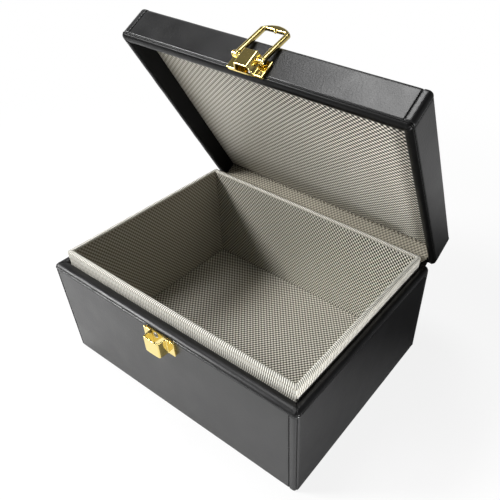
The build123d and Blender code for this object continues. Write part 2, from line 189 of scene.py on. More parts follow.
def makeWeave(name, yarn, crown, pit, taut, metallic, rough):
    look = weaveLook
    material, tree, shader = newMaterial(name, Metallic=metallic, Roughness=rough)
    cells = addNode(tree, "ShaderNodeUVMap", uv_map="weave").outputs[0]
    across, along = addNode(tree, "ShaderNodeSeparateXYZ", {0: cells}).outputs[:2]

    def wave(axis, turns):
        return mathNode(tree, "SINE", mathNode(tree, "MULTIPLY", axis, turns * 2 * pi))

    square = mathNode(tree, "MULTIPLY", wave(across, 1), wave(along, 1))
    slits = mathNode(tree, "MULTIPLY", wave(across, look["slitTurns"][0]), wave(along, look["slitTurns"][1]))
    # the pits lean a little along one diagonal, as the yarns cross
    diagonal = mathNode(tree, "MULTIPLY", mathNode(tree, "SUBTRACT", across, along), 2 * pi)
    pits = mathNode(tree, "MULTIPLY_ADD", mathNode(tree, "COSINE", diagonal), look["lean"], square)
    # the second map says how clearly the check shows, and how tight the cloth is: pits then close into slits
    state = addNode(tree, "ShaderNodeUVMap", uv_map="weaveDepth").outputs[0]
    clear, tight = addNode(tree, "ShaderNodeSeparateXYZ", {0: state}).outputs[:2]
    check = addNode(tree, "ShaderNodeMix", {0: tight, 2: pits, 3: slits}).outputs[0]
    # the ramp paints the pits darker and the crowns near white: painted shade and painted highlight over the
    # yarn colour
    colours = rampNode(tree, rangeNode(tree, check, (-1.0, 1.0)), (look["pitStop"], hexColour(pit)),
                       (look["crownStop"], hexColour(crown)), (look["yarnStop"], hexColour(yarn)))
    # where the check shows less, the walls fade to the painted-shade colour and the rim to its taut colour
    even = addNode(tree, "ShaderNodeMixRGB", {0: tight, 1: hexColour(look["paintedShade"]), 2: hexColour(taut)})
    faded = addNode(tree, "ShaderNodeMixRGB", {0: clear, 1: even.outputs[0], 2: colours})
    tree.links.new(faded.outputs[0], shader.inputs["Base Color"])
    # the metal shows less on the rubbed, tight rim
    tree.links.new(rangeNode(tree, tight, target=(metallic, 0.0)), shader.inputs["Metallic"])
    tree.links.new(rangeNode(tree, tight, target=(rough, look["rimRough"])), shader.inputs["Roughness"])
    sunk = mathNode(tree, "MULTIPLY", rangeNode(tree, check, look["pitRange"], smooth=True), clear)
    dip = mathNode(tree, "SUBTRACT", 1.0, sunk)
    tree.links.new(bumpNode(tree, dip, look["pitDepth"]), shader.inputs["Normal"])
    return material


weave = makeWeave("nickelShieldingWeave", **weaveFace)
weaveShaded = makeWeave("nickelShieldingWeaveShaded", **weaveShadedLook)

# polished brass plate: thin gold-coloured coating, so clear warm reflections, faintly smudged
goldLook = {"colour": "#e6d185", "rough": 0.1, "roughRange": (0.07, 0.14), "smudgeScale": 160.0}
gold, goldTree, goldShader = newMaterial("polishedGoldBrass", Metallic=1.0, Roughness=goldLook["rough"],
                                         Base_Color=hexColour(goldLook["colour"]))
goldSmudge = rangeNode(goldTree, textureNode(goldTree, "Noise", goldLook["smudgeScale"])[0],
                       target=goldLook["roughRange"])
goldTree.links.new(goldSmudge, goldShader.inputs["Roughness"])

# nickel-plated steel screws: bright and slightly blurred
steelLook = {"colour": "#e2e4e6", "metallic": 0.75, "roughRange": (0.2, 0.32), "blurScale": 1200.0}
steel, steelTree, steelShader = newMaterial("nickelPlatedSteel", Metallic=steelLook["metallic"],
                                            Base_Color=hexColour(steelLook["colour"]))
steelBlur = rangeNode(steelTree, textureNode(steelTree, "Noise", steelLook["blurScale"])[0],
                      target=steelLook["roughRange"])
steelTree.links.new(steelBlur, steelShader.inputs["Roughness"])

# fibreboard coloured near black, so a seam that opens a hair shows dark: painted shade in the gaps; matt and
# faintly flecked
boardLook = {"dark": "#191715", "light": "#2a2724", "rough": 0.85,
             "fleckScale": 700.0, "fleckDetail": 6.0, "fleckRange": (0.35, 0.65)}
board, boardTree, boardShader = newMaterial("fibreboardPaintedSeamShade", Roughness=boardLook["rough"])
boardNoise = textureNode(boardTree, "Noise", boardLook["fleckScale"], boardLook["fleckDetail"])[0]
boardFleck = rampNode(boardTree, boardNoise,
                      (boardLook["fleckRange"][0], hexColour(boardLook["dark"])),
                      (boardLook["fleckRange"][1], hexColour(boardLook["light"])))
boardTree.links.new(boardFleck, boardShader.inputs["Base Color"])

# open-cell foam: pale grey, fully matt, pitted
foamLook = {"colour": "#8d8d8a", "cellScale": 900.0, "cellDepth": 0.3}
foam, foamTree, foamShader = newMaterial("openCellFoam", Roughness=1.0,
                                         Base_Color=hexColour(foamLook["colour"]))
foamCells = textureNode(foamTree, "Voronoi", foamLook["cellScale"])["Distance"]
foamTree.links.new(bumpNode(foamTree, foamCells, foamLook["cellDepth"]), foamShader.inputs["Normal"])

# waxed polyester thread, black: twisted, so a soft shine
threadLook = {"colour": "#040404", "creaseColour": "#3d3729", "rough": 0.7, "shine": 0.1, "twistScale": 900.0,
              "twistDepth": 0.05}
thread, threadTree, threadShader = newMaterial("blackPolyesterThread", Roughness=threadLook["rough"],
                                               Specular_IOR_Level=threadLook["shine"],
                                               Base_Color=hexColour(threadLook["colour"]))
threadTwist = textureNode(threadTree, "Wave", threadLook["twistScale"], bands_direction="DIAGONAL")[1]
threadBump = bumpNode(threadTree, threadTwist, threadLook["twistDepth"])
threadTree.links.new(threadBump, threadShader.inputs["Normal"])

# the same thread in grey-brown, for the sewn crease of the lining
threadGrey = thread.copy()
threadGrey.name = "greyPolyesterThread"
greyShader = threadGrey.node_tree.nodes["Principled BSDF"]
greyShader.inputs["Base Color"].default_value = hexColour(threadLook["creaseColour"])

cadFinish = {"board": board, "foam": foam, "gold_brass": gold, "screw_steel": steel,
             "black_leather": leather, "shielding_fabric": weave}
slotOf = {part["node"]: part["material_slot"] for part in frame["record"]["subparts"]}
for nodeName, nodeObject in frame["nodes"].items():
    for index in range(len(nodeObject.material_slots)):
        nodeObject.material_slots[index].material = cadFinish[slotOf[nodeName]]


def linkObject(name, data):
    made = bpy.data.objects.new(name, data)
    bpy.context.scene.collection.objects.link(made)
    return made


def roundDrop(distance, radius):
    # how far a rounded edge has fallen away at this distance from it
    if distance >= radius:
        return 0.0
    return radius - sqrt(max(radius * radius - (radius - max(distance, 0.0)) ** 2, 0.0))


def spread(low, high, coarse, fine, band):
    # sample points that are close together near both ends
    middle = max(2, ceil((high - low - 2 * band) / coarse) + 1)
    points = [*np.arange(low, low + band, fine), *np.linspace(low + band, high - band, middle),
              *(high - np.arange(0, band, fine))]
    return sorted(set(round(float(p), 4) for p in points))


def lineFrame(line):
    # arc length and direction at each point of a flat line
    points = np.array(line)
    length = np.concatenate([[0], np.cumsum(np.hypot(*np.diff(points, axis=0).T))])
    tangent = np.gradient(points, axis=0)
    tangent /= np.hypot(*tangent.T)[:, None]
    return length, tangent


def finishMesh(name, verts, faces, finishes, uvs=None, lid=False, sharp=38, body="box",
               slotName="black_leather", faceFinish=None, weaveDepth=None):
    mesh = bpy.data.meshes.new(name)
    mesh.from_pydata([tuple(v) for v in verts], [], faces)
    if faceFinish is not None:
        mesh.polygons.foreach_set("material_index", np.asarray(faceFinish, np.int32))
    for layerName, values in (("weave", uvs), ("weaveDepth", weaveDepth)):
        if values is not None:
            layer = mesh.uv_layers.new(name=layerName)
            index = np.empty(len(mesh.loops), np.int32)
            mesh.loops.foreach_get("vertex_index", index)
            layer.data.foreach_set("uv", np.asarray(values, np.float32)[index].ravel())
    work = bmesh.new()
    work.from_mesh(mesh)
    bmesh.ops.remove_doubles(work, verts=work.verts, dist=weldGap)
    bmesh.ops.dissolve_degenerate(work, edges=work.edges, dist=sliverEdge)
    bmesh.ops.recalc_face_normals(work, faces=work.faces)
    work.to_mesh(mesh)
    work.free()
    if lid:
        mesh.transform(opened)
    mesh.shade_smooth()
    mesh.set_sharp_from_angle(angle=radians(sharp))
    for finish in finishes:
        mesh.materials.append(finish)
    made = linkObject(name, mesh)
    if body:
        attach(made, body)
    return made


def gridShell(name, outer, inner, finish, uv=None, depth=None, **options):
    # outer and inner are rows x columns x 3 grids in millimetres; the shell between them is closed
    rows, cols = outer.shape[:2]
    verts = np.concatenate([outer.reshape(-1, 3), inner.reshape(-1, 3)]) * mm
    count = rows * cols
    faces = []
    for i in range(rows - 1):
        for j in range(cols - 1):
            a, b, c, d = i * cols + j, i * cols + j + 1, (i + 1) * cols + j + 1, (i + 1) * cols + j
            faces.append((a, b, c, d))
            faces.append((d + count, c + count, b + count, a + count))
    for j in range(cols - 1):
        last = (rows - 1) * cols
        faces.append((j + 1, j, j + count, j + 1 + count))
        faces.append((last + j, last + j + 1, last + j + 1 + count, last + j + count))
    for i in range(rows - 1):
        a, b = i * cols, (i + 1) * cols
        faces.append((a, b, b + count, a + count))
        faces.append((b + cols - 1, a + cols - 1, a + cols - 1 + count, b + cols - 1 + count))
    uvs, depths = None, None
    if uv is not None:
        uvs, depths = (np.concatenate([values.reshape(-1, 2)] * 2) for values in (uv, depth))
    return finishMesh(name, verts, faces, [finish], uvs, weaveDepth=depths, **options)


def loopSweep(name, loops, finishes, insideFrom=None, **options):
    # loops is path x section x 3: a closed section carried along a path and capped at both ends
    count, size = loops.shape[:2]
    faces = [tuple(range(size))[::-1], tuple(range((count - 1) * size, count * size))]
    kinds = [0, 0]
    for i in range(count - 1):
        for j in range(size):
            k = (j + 1) % size
            faces.append((i * size + j, i * size + k, (i + 1) * size + k, (i + 1) * size + j))
            kinds.append(1 if insideFrom and j >= insideFrom else 0)
    return finishMesh(name, loops.reshape(-1, 3) * mm, faces, finishes, faceFinish=kinds, **options)


# the sides in turn, with the corners at their left and right ends as seen from outside
sideCorners = {"front": ("front_left", "front_right"), "right": ("front_right", "back_right"),
               "back": ("back_right", "back_left"), "left": ("back_left", "front_left")}
corners = {"front_left": (-1, -1), "front_right": (1, -1), "back_right": (1, 1), "back_left": (-1, 1)}
arcLength = cornerRound * pi / 2


def flatPlace(side, along, inward):
    # a point of a side: along runs to the right as seen from outside
    if side == "front":
        return along, -deep + inward
    if side == "back":
        return -along, deep - inward
    if side == "right":
        return wide - inward, along
    return -wide + inward, -along


def sideHalf(side):
    return wide if side in ("front", "back") else deep


def ringPlace(side, plan, radius, share, along):
    # share 0 is the outer face, 1 the inner one; along is -1..1 on the straight, beyond that round the corner
    front, flank, back = (width * share for width in plan)
    depth, before, after = {"front": (front, flank, flank), "right": (flank, front, back),
                            "back": (back, flank, flank), "left": (flank, back, front)}[side]
    half = sideHalf(side)
    low, high = -half + before + radius, half - after - radius
    middle, reach = (low + high) / 2, (high - low) / 2
    position = middle + reach * max(-1.0, min(1.0, along))
    extra = abs(along) - 1.0
    if extra <= 0:
        return flatPlace(side, position, depth)
    angle = min(extra, 1.0) * pi / 4
    sign = 1 if along > 0 else -1
    return flatPlace(side, position + sign * radius * sin(angle), depth + radius * (1 - cos(angle)))


def ripple(x, y, z, size, height):
    return height * noise.noise(Vector((x / size, y / size, z / size)))


# leather covers and corner strips; all sizes are millimetres
panelLook = {"fold": 0.62, "foldDeep": 0.6, "wave": 0.10, "waveSize": 20.0, "pucker": 0.2, "puckerReach": 2.4,
             "stripPuckerReach": 1.5, "stitchPitch": 2.3, "stripCrown": 0.15, "stripEase": 0.8,
             "seamDrop": 1.0, "baseFlap": 12.0, "topFlap": 4.2, "stripBaseFlap": 2.9, "stripTopFlap": 2.95,
             "hingeTuck": 52.95, "lidHingeTuck": 85.6, "tuckGap": 0.1, "bendSteps": 9}
# where each corner strip is sewn: millimetres round the corner from the start of the round on the front or back
plainSeam = (-2.5, arcLength + 0.6)
stripSeams = {"box": {"front_left": (0.3, arcLength + 2.5), "front_right": (-2.5, 0.55 * arcLength),
                      "back_right": plainSeam, "back_left": plainSeam},
              "lid": {corner: plainSeam for corner in corners}}


def bentProfile(points, radius, step, fine=0.12, band=1.2):
    # (inward, height) line through three points with its middle corner rounded
    (a, b), (c, d), (e, f) = points
    inLength, outLength = hypot(c - a, d - b), hypot(e - c, f - d)
    inDir, outDir = ((c - a) / inLength, (d - b) / inLength), ((e - c) / outLength, (f - d) / outLength)
    centre = (c - inDir[0] * radius + outDir[0] * radius, d - inDir[1] * radius + outDir[1] * radius)
    first, second = inLength - radius, outLength - radius
    profile = [(a + inDir[0] * t, b + inDir[1] * t)
               for t in spread(0, first, step, fine, min(band, first / 3))]
    for k in range(1, panelLook["bendSteps"]):
        turn = k / panelLook["bendSteps"] * pi / 2
        profile.append((centre[0] - outDir[0] * radius * cos(turn) + inDir[0] * radius * sin(turn),
                        centre[1] - outDir[1] * radius * cos(turn) + inDir[1] * radius * sin(turn)))
    profile += [(c + outDir[0] * (radius + t), d + outDir[1] * (radius + t))
                for t in spread(0, second, step, fine, min(band, second / 3))]
    return profile


def profileFrame(profile):
    # arc length along the profile, and the direction into the box at each point
    length, tangent = lineFrame(profile)
    heights = np.array(profile)[:, 1]
    middle = (heights.min() + heights.max()) / 2
    normal = np.stack([-tangent[:, 1], tangent[:, 0]], axis=1)
    level = abs(normal[:, 0]) <= 1e-6
    flip = (normal[:, 0] < -1e-6) | (level & (normal[:, 1] * (heights - middle) > 0))
    normal[flip] *= -1
    return length, normal


def sidePoint(side, t, inset, ends):
    # t runs along the side; past its straight part it goes round the corner
    half = sideHalf(side)
    straight, small = half - cornerRound, max(cornerRound - inset, leastRound)
    centre, end = half - inset - small, (ends[1] if t > 0 else -ends[0])
    if abs(t) <= straight:
        squeeze = min(1.0, (half - inset) / end) if end <= straight else centre / straight
        return flatPlace(side, t * squeeze, inset)
    angle = (abs(t) - straight) / cornerRound
    along = (1 if t > 0 else -1) * (centre + small * sin(angle))
    return flatPlace(side, along, inset + small * (1 - cos(angle)))


def cornerPoint(w, inset):
    # a point round the back right corner; the other corners mirror it
    small = max(cornerRound - inset, leastRound)
    if w < 0:
        return wide - cornerRound + w, deep - inset
    if w < arcLength:
        angle = w / cornerRound
        return wide - inset - small + small * sin(angle), deep - inset - small + small * cos(angle)
    return wide - inset, deep - cornerRound - (w - arcLength)


def panelEnds(side, body):
    # how far the cover reaches to either end, up to the seams of the two corner strips
    reaches = []
    for corner in sideCorners[side]:
        low, high = stripSeams[body][corner]
        reach = low if side in ("front", "back") else arcLength - high
        reaches.append(sideHalf(side) - cornerRound + reach)
    return -reaches[0], reaches[1]


def foldDrop(edge, sideways):
    # how far the turned edge has sunk at this distance from the piece's ends and from its seams
    return min(max(roundDrop(gap, panelLook["fold"]) for gap in (edge, sideways)), panelLook["foldDeep"])


def coverPiece(name, node, side, profile, body):
    length, normal = profileFrame(profile)
    ends = panelEnds(side, body)
    straight = sideHalf(side) - cornerRound
    alongs = spread(*ends, coarse=4.0, fine=0.18, band=2.6)
    for end, sign in ((-ends[0], -1), (ends[1], 1)):
        if end > straight:
            cornerAlongs = [round(sign * v, 4) for v in np.arange(straight - 0.6, end, 0.2)]
            alongs = sorted(set(alongs + cornerAlongs))
    outer = np.zeros((len(profile), len(alongs), 3))
    inner = np.zeros_like(outer)
    for i, (inward, height) in enumerate(profile):
        nx, nz = normal[i]
        edge = min(length[i], length[-1] - length[i])
        stitch = 0.5 + 0.5 * cos(2 * pi * length[i] / panelLook["stitchPitch"])
        for j, t in enumerate(alongs):
            sideways = min(t - ends[0], ends[1] - t)
            near = max(0.0, 1 - sideways / panelLook["puckerReach"])
            drop = foldDrop(edge, sideways) + panelLook["pucker"] * stitch * near ** 2
            x, y = sidePoint(side, t, inward, ends)
            wave = noise.noise(Vector((x, y, height + (200 if body == "lid" else 0))) / panelLook["waveSize"])
            drop += panelLook["wave"] * (0.5 + 0.5 * wave)
            for grid, push in ((outer, drop), (inner, case["skin"])):
                grid[i, j] = (*sidePoint(side, t, inward + nx * push, ends), height + nz * push)
    made = gridShell(name, outer, inner, leather, lid=body == "lid", body=body)
    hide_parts(node)


def stripPiece(name, node, corner, profile, body):
    length, normal = profileFrame(profile)
    low, high = stripSeams[body][corner]
    around = spread(low, high, coarse=0.35, fine=0.14, band=min(1.4, (high - low) / 3))
    sx, sy = corners[corner]
    outer = np.zeros((len(profile), len(around), 3))
    inner = np.zeros_like(outer)
    for i, (inward, height) in enumerate(profile):
        nx, nz = normal[i]
        edge = min(length[i], length[-1] - length[i])
        stitch = 0.5 - 0.5 * cos(2 * pi * length[i] / panelLook["stitchPitch"])
        for j, w in enumerate(around):
            sideways = min(w - low, high - w)
            near = max(0.0, 1 - sideways / panelLook["stripPuckerReach"])
            drop = foldDrop(edge, sideways) + panelLook["pucker"] * stitch * near
            ease = panelLook["stripEase"]
            drop -= panelLook["stripCrown"] * min(1.0, sideways / ease, edge / ease)
            for grid, push in ((outer, drop), (inner, case["skin"])):
                x, y = cornerPoint(w, inward + nx * push)
                grid[i, j] = (sx * x, sy * y, height + nz * push)
    made = gridShell(name, outer, inner, leather, lid=body == "lid", body=body)
    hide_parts(node)


print("box leather")
boxEdge, lidEdge = case["seam"] - panelLook["seamDrop"], case["rimSeam"] + panelLook["seamDrop"]
boxProfile = bentProfile([(panelLook["baseFlap"], 0.0), (0.0, 0.0), (0.0, boxEdge)], case["baseRound"], 2.5)
boxStripProfile = bentProfile([(panelLook["stripBaseFlap"], 0.0), (0.0, 0.0), (0.0, boxEdge)],
                              case["baseRound"], 0.5)
tuck = panelLook["hingeTuck"]      # the back covers end behind the hinge strip
boxBackProfile = [p for p in boxProfile if p[1] < tuck - panelLook["tuckGap"]] + [(0.0, tuck)]
for side in sideCorners:
    profile = boxBackProfile if side == "back" else boxProfile
    coverPiece("panelLeather_" + side, "cover_" + side, side, profile, "box")
for corner in corners:
    stripPiece("cornerLeather_" + corner, "corner_strip_" + corner, corner, boxStripProfile, "box")

print("lid leather")
lidTop = case["lidTop"]
lidProfile = bentProfile([(0.0, lidEdge), (0.0, lidTop), (panelLook["topFlap"], lidTop)],
                         case["topRound"], 1.2)
lidStripProfile = bentProfile([(0.0, lidEdge), (0.0, lidTop), (panelLook["stripTopFlap"], lidTop)],
                              case["topRound"], 0.5)
tuck = panelLook["lidHingeTuck"]
lidBackProfile = [(0.0, tuck)] + [p for p in lidProfile if p[1] > tuck + panelLook["tuckGap"]]
for side in sideCorners:
    profile = lidBackProfile if side == "back" else lidProfile
    coverPiece("lidLeather_" + side, "lid_cover_" + side, side, profile, "lid")
for corner in corners:
    stripPiece("lidCornerLeather_" + corner, "lid_corner_strip_" + corner, corner, lidStripProfile, "lid")

# thin leather piping that closes the seam under the ledge and over the lid's rim
pipingLook = {"radius": 0.6, "proud": 0.15, "fromSeam": 0.52, "end": 94.6,
              "step": 2.0, "cornerSteps": 12, "sides": 12,
              "swell": 0.4, "swellReach": 1.6, "uneven": 0.12, "unevenSize": 9.0,
              "keeperHalf": 9.5, "keeperPress": 0.4}


def pipingLine(inset):
    # from one end of the hinge strip round all four corners to its other end: place and outward direction
    small = cornerRound - inset
    line = [(-pipingLook["end"], deep - inset, 0, 1)]
    for quarter, (sideX, sideY) in enumerate(((-1, 1), (-1, -1), (1, -1), (1, 1))):
        for k in range(pipingLook["cornerSteps"] + 1):
            turn = (quarter + 1 + k / pipingLook["cornerSteps"]) * pi / 2
            x = sideX * (wide - cornerRound) + small * cos(turn)
            y = sideY * (deep - cornerRound) + small * sin(turn)
            if k == 0 and quarter > 0:
                # the straight stretch from the last corner to this one
                fromX, fromY, nx, ny = line[-1]
                steps = int(hypot(fromX - x, fromY - y) / pipingLook["step"])
                line += [(fromX + (x - fromX) * n / steps, fromY + (y - fromY) * n / steps, nx, ny)
                         for n in range(1, steps)]
            line.append((x, y, cos(turn), sin(turn)))
    return line + [(pipingLook["end"], deep - inset, 0, 1)]


def seamPiping(name, height, body):
    line = pipingLine(pipingLook["radius"] - pipingLook["proud"])
    loops = np.zeros((len(line), pipingLook["sides"], 3))
    for i, (x, y, nx, ny) in enumerate(line):
        # it is fuller where it turns the two front corners
        fromCorner = hypot(abs(x) - wide + 1, y + deep - 1)
        swell = 1 + pipingLook["swell"] * exp(-(fromCorner / pipingLook["swellReach"]) ** 2)
        uneven = 1 + ripple(x, y, height, pipingLook["unevenSize"], pipingLook["uneven"])
        thick = pipingLook["radius"] * swell * uneven
        if body == "box" and ny < -0.999 and abs(x) < pipingLook["keeperHalf"]:
            y += pipingLook["keeperPress"]      # pressed in behind the keeper
        for j in range(pipingLook["sides"]):
            turn = 2 * pi * j / pipingLook["sides"]
            loops[i, j] = (x + nx * thick * cos(turn), y + ny * thick * cos(turn), height + thick * sin(turn))
    # the lid's piping is in the darker rim copy: painted shade
    finish = leatherRimShaded if body == "lid" else leatherBead
    loopSweep(name, loops, [finish], lid=body == "lid", body=body, sharp=80)


seamPiping("ledgePiping", case["seam"] - pipingLook["fromSeam"], "box")
seamPiping("lidPiping", case["rimSeam"] + pipingLook["fromSeam"], "lid")

print("padded rolls")
# the ledge round the tray and the lid's rim; the crown is (share of the width, share of the height)
rollLook = {"mitreFold": 0.5, "pillow": 0.18, "pillowSize": 9.0, "settle": 0.05,
            "wrinkle": 0.45, "wrinkleSize": 1.9, "wrinkleReach": 2.6,
            "mitreStep": 0.3, "mitreRows": 22, "roundShare": 0.42, "flapShare": 0.9,
            "ledgeFill": 0.85, "rimFill": 0.7,
            "skirt": 12.0, "backSkirt": 1.0, "turnIn": 2.4, "backTurnIn": 1.0}
rollCrown = [(0.05, 0.0), (0.015, 0.06), (0.0, 0.14), (0.008, 0.24), (0.03, 0.36), (0.07, 0.50),
             (0.12, 0.64), (0.18, 0.77), (0.25, 0.88), (0.33, 0.955), (0.42, 0.995), (0.50, 1.0),
             (0.60, 0.96), (0.70, 0.86), (0.80, 0.69), (0.88, 0.48), (0.95, 0.20), (1.0, -0.2)]


def rollPiece(name, node, side, plan, crownZ, seamZ, skinEnd, body):
    up = 1 if crownZ > seamZ else -1
    tall = abs(crownZ - seamZ)
    flap = rollLook["flapShare"]
    section = [(share, seamZ + up * tall * rise) for share, rise in rollCrown]
    section += [(1.0, skinEnd), (flap, skinEnd)]      # the skin turned down behind, and the roll's underside
    section += [(flap, seamZ - up * 0.6), (0.5, seamZ - up * 0.1), (0.2, seamZ)]
    reach = sideHalf(side)
    near = [1 - k * rollLook["mitreStep"] / reach for k in range(rollLook["mitreRows"])]
    alongs = [*np.linspace(-2, -1, 9), *(-n for n in near), *np.linspace(-0.92, 0.92, 66), *near,
              *np.linspace(1, 2, 9)]
    alongs = sorted(set(round(float(v), 5) for v in alongs))
    loops = np.zeros((len(alongs), len(section), 3))
    for i, along in enumerate(alongs):
        for j, (share, height) in enumerate(section):
            small = max(cornerRound * (1 - share / rollLook["roundShare"]), leastRound)
            x, y = ringPlace(side, plan, small, share, along)
            toMitre = (1 - min(abs(along), 1)) * reach + max(0, 2 - max(abs(along), 1)) * small * pi / 4
            z = height
            if j < len(rollCrown):
                z -= up * roundDrop(toMitre, rollLook["mitreFold"]) * min(1.0, 0.25 + share * 2)
                soft = ripple(x, y, 3 if up > 0 else 9, rollLook["pillowSize"], rollLook["pillow"])
                # the skin is gathered where two rolls meet
                gathered = exp(-toMitre / rollLook["wrinkleReach"])
                soft += ripple(x, y, 4, rollLook["wrinkleSize"], rollLook["wrinkle"]) * gathered
                z += up * (soft - rollLook["settle"]) * sin(pi * min(share, 1.0))
            loops[i, j] = (x, y, z)
    # the lid's rolls take the darker rim copy and every turned-in skin the darker inside copy: painted shade
    made = loopSweep(name, loops, [leatherRimShaded if body == "lid" else leatherRoll, leatherInsideShaded],
                     insideFrom=len(rollCrown) - 2, lid=body == "lid", body=body, sharp=50)
    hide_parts(node)


for side in sideCorners:
    skirtEnd = case["seam"] - rollLook["backSkirt" if side == "back" else "skirt"]
    rollPiece("ledgeRoll_" + side, "ledge_roll_" + side, side, case["ledgePlan"], case["ledge"], case["seam"],
              skirtEnd, "box")
for side in sideCorners:
    skinEnd = case["panel"] + rollLook["turnIn"]
    if side == "back":
        skinEnd = case["rimSeam"] + rollLook["backTurnIn"]
    rollPiece("lidRimRoll_" + side, "lid_rim_roll_" + side, side, case["lidPlan"], case["rim"],
              case["rimSeam"], skinEnd, "lid")

print("flat coverings")
# leather and fabric over flat boards; gaps are how far each stops from the front, the sides and the back
# panelClear and floorClear fade the check into painted shade, the panel most at its left
slabLook = {"wave": 0.08, "waveSize": 18, "evenness": 4, "fabric": 0.5,
            "topGap": (4.0, 4.0, 4.0), "topCrown": 0.25, "baseGap": (12.0, 12.0, 12.0), "baseCrown": -0.1,
            "panelGap": (0.2, 0.2, 0.75), "panelCrown": 0.9, "panelEdge": 0.5, "floorEdge": 0.4,
            "panelClear": (0.3, 1.0, 140.0), "floorClear": (0.75, 0.75, 1.0)}


def slab(name, node, plan, under, top, crown, body, edge=0.6, cell=None, clear=None):
    # clear is how plainly the check shows: at the left, at the right, and how far from the left that begins;
    # where it shows less, the cloth fades into painted shade
    halfX, lowY, highY = wide - plan[1], -deep + plan[0], deep - plan[2]
    xs, ys = (spread(*ends, coarse=4.0, fine=0.2, band=2.0) for ends in ((-halfX, halfX), (lowY, highY)))
    outer = np.zeros((len(ys), len(xs), 3))
    inner = np.zeros_like(outer)
    uv = np.zeros((len(ys), len(xs), 2))
    depth = np.zeros_like(uv)
    sign = 1 if top > under else -1
    for i, y in enumerate(ys):
        for j, x in enumerate(xs):
            gap = min(x + halfX, halfX - x, y - lowY, highY - y)
            acrossX = 1 - (x / halfX) ** slabLook["evenness"]
            acrossY = 1 - ((2 * y - lowY - highY) / (highY - lowY)) ** slabLook["evenness"]
            swell = crown * sqrt(max(acrossX * acrossY, 0))
            swell += ripple(x, y, 1, slabLook["waveSize"], slabLook["wave"])
            outer[i, j] = (x, y, top - sign * roundDrop(gap, edge) + sign * swell)
            inner[i, j] = (x, y, under)
            if cell:
                uv[i, j] = (x / cell[0], y / cell[1])
                depth[i, j, 0] = clear[0] + (clear[1] - clear[0]) * min(1.0, (x + wide) / clear[2])
    finish, slotName = (weave, "shielding_fabric") if cell else (leather, "black_leather")
    made = gridShell(name, outer, inner, finish, uv if cell else None, depth, lid=body == "lid", body=body,
                     slotName=slotName)
    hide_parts(node)


panelPlan = tuple(width + gap for width, gap in zip(case["lidPlan"], slabLook["panelGap"]))
trayPlan = tuple(width + case["trayWall"] for width in case["ledgePlan"])
slab("lidTopLeather", "lid_top_cover", slabLook["topGap"], lidTop - case["skin"], lidTop,
     slabLook["topCrown"], "lid")
slab("baseLeather", "base_cover", slabLook["baseGap"], case["skin"], 0.0, slabLook["baseCrown"], "box")
slab("lidPanelFabric", "lid_panel_fabric", panelPlan, case["panel"] + slabLook["fabric"], case["panel"],
     slabLook["panelCrown"], "lid", slabLook["panelEdge"], weaveLook["panelCell"], slabLook["panelClear"])
slab("trayFloorFabric", "liner_floor_fabric", trayPlan, case["trayFloor"] - slabLook["fabric"],
     case["trayFloor"], 0.0, "box", slabLook["floorEdge"], weaveLook["wallCell"], slabLook["floorClear"])

print("tray lining")
# each wall is wrapped from the floor over its top and down outside
trayLook = {"outerCorner": 1.25, "leastRound": 0.04, "thick": 0.5, "rimRound": 1.4, "bendSteps": 9,
            "wave": 0.10, "waveSize": 7, "waver": 0.08, "waverSize": 6, "waveFrom": 77.5,
            "outsideRows": (83.2, 82.0, 80.5, 79.0, 77.6, 76.5, 74.0, 71.6),
            # how plainly the check shows on each inner wall; the rest fades into painted shade, most on the
            # shaded left wall and at the back wall's left
            "innerClear": {"front": 0.8, "right": 0.8, "back": 1.0, "left": 0.35}, "rimClear": 0.75,
            "backShadeClear": 0.6, "shadeFrom": -20.0, "shadeReach": 80.0,      # the back wall fades into painted shade at its left
            "weaveStart": {"front": 0.0, "right": 0.31, "back": 0.17, "left": 0.43}, "cornerWeave": 1.2}


def traySection():
    # (distance from the outer face, height) from the floor up inside, over the rim and down outside
    wall, top, bend, steps = case["trayWall"], case["trayTop"], trayLook["rimRound"], trayLook["bendSteps"]
    turns = [k / steps * pi / 2 for k in range(1, steps)]
    section = [(wall, z) for z in spread(case["trayFloor"], top - bend, coarse=5.0, fine=0.6, band=3.0)]
    section += [(wall - bend + bend * cos(turn), top - bend + bend * sin(turn)) for turn in turns]
    section.append((wall / 2, top))
    section += [(bend - bend * sin(turn), top - bend + bend * cos(turn)) for turn in turns]
    return section + [(0.0, z) for z in (top - bend, *trayLook["outsideRows"])]


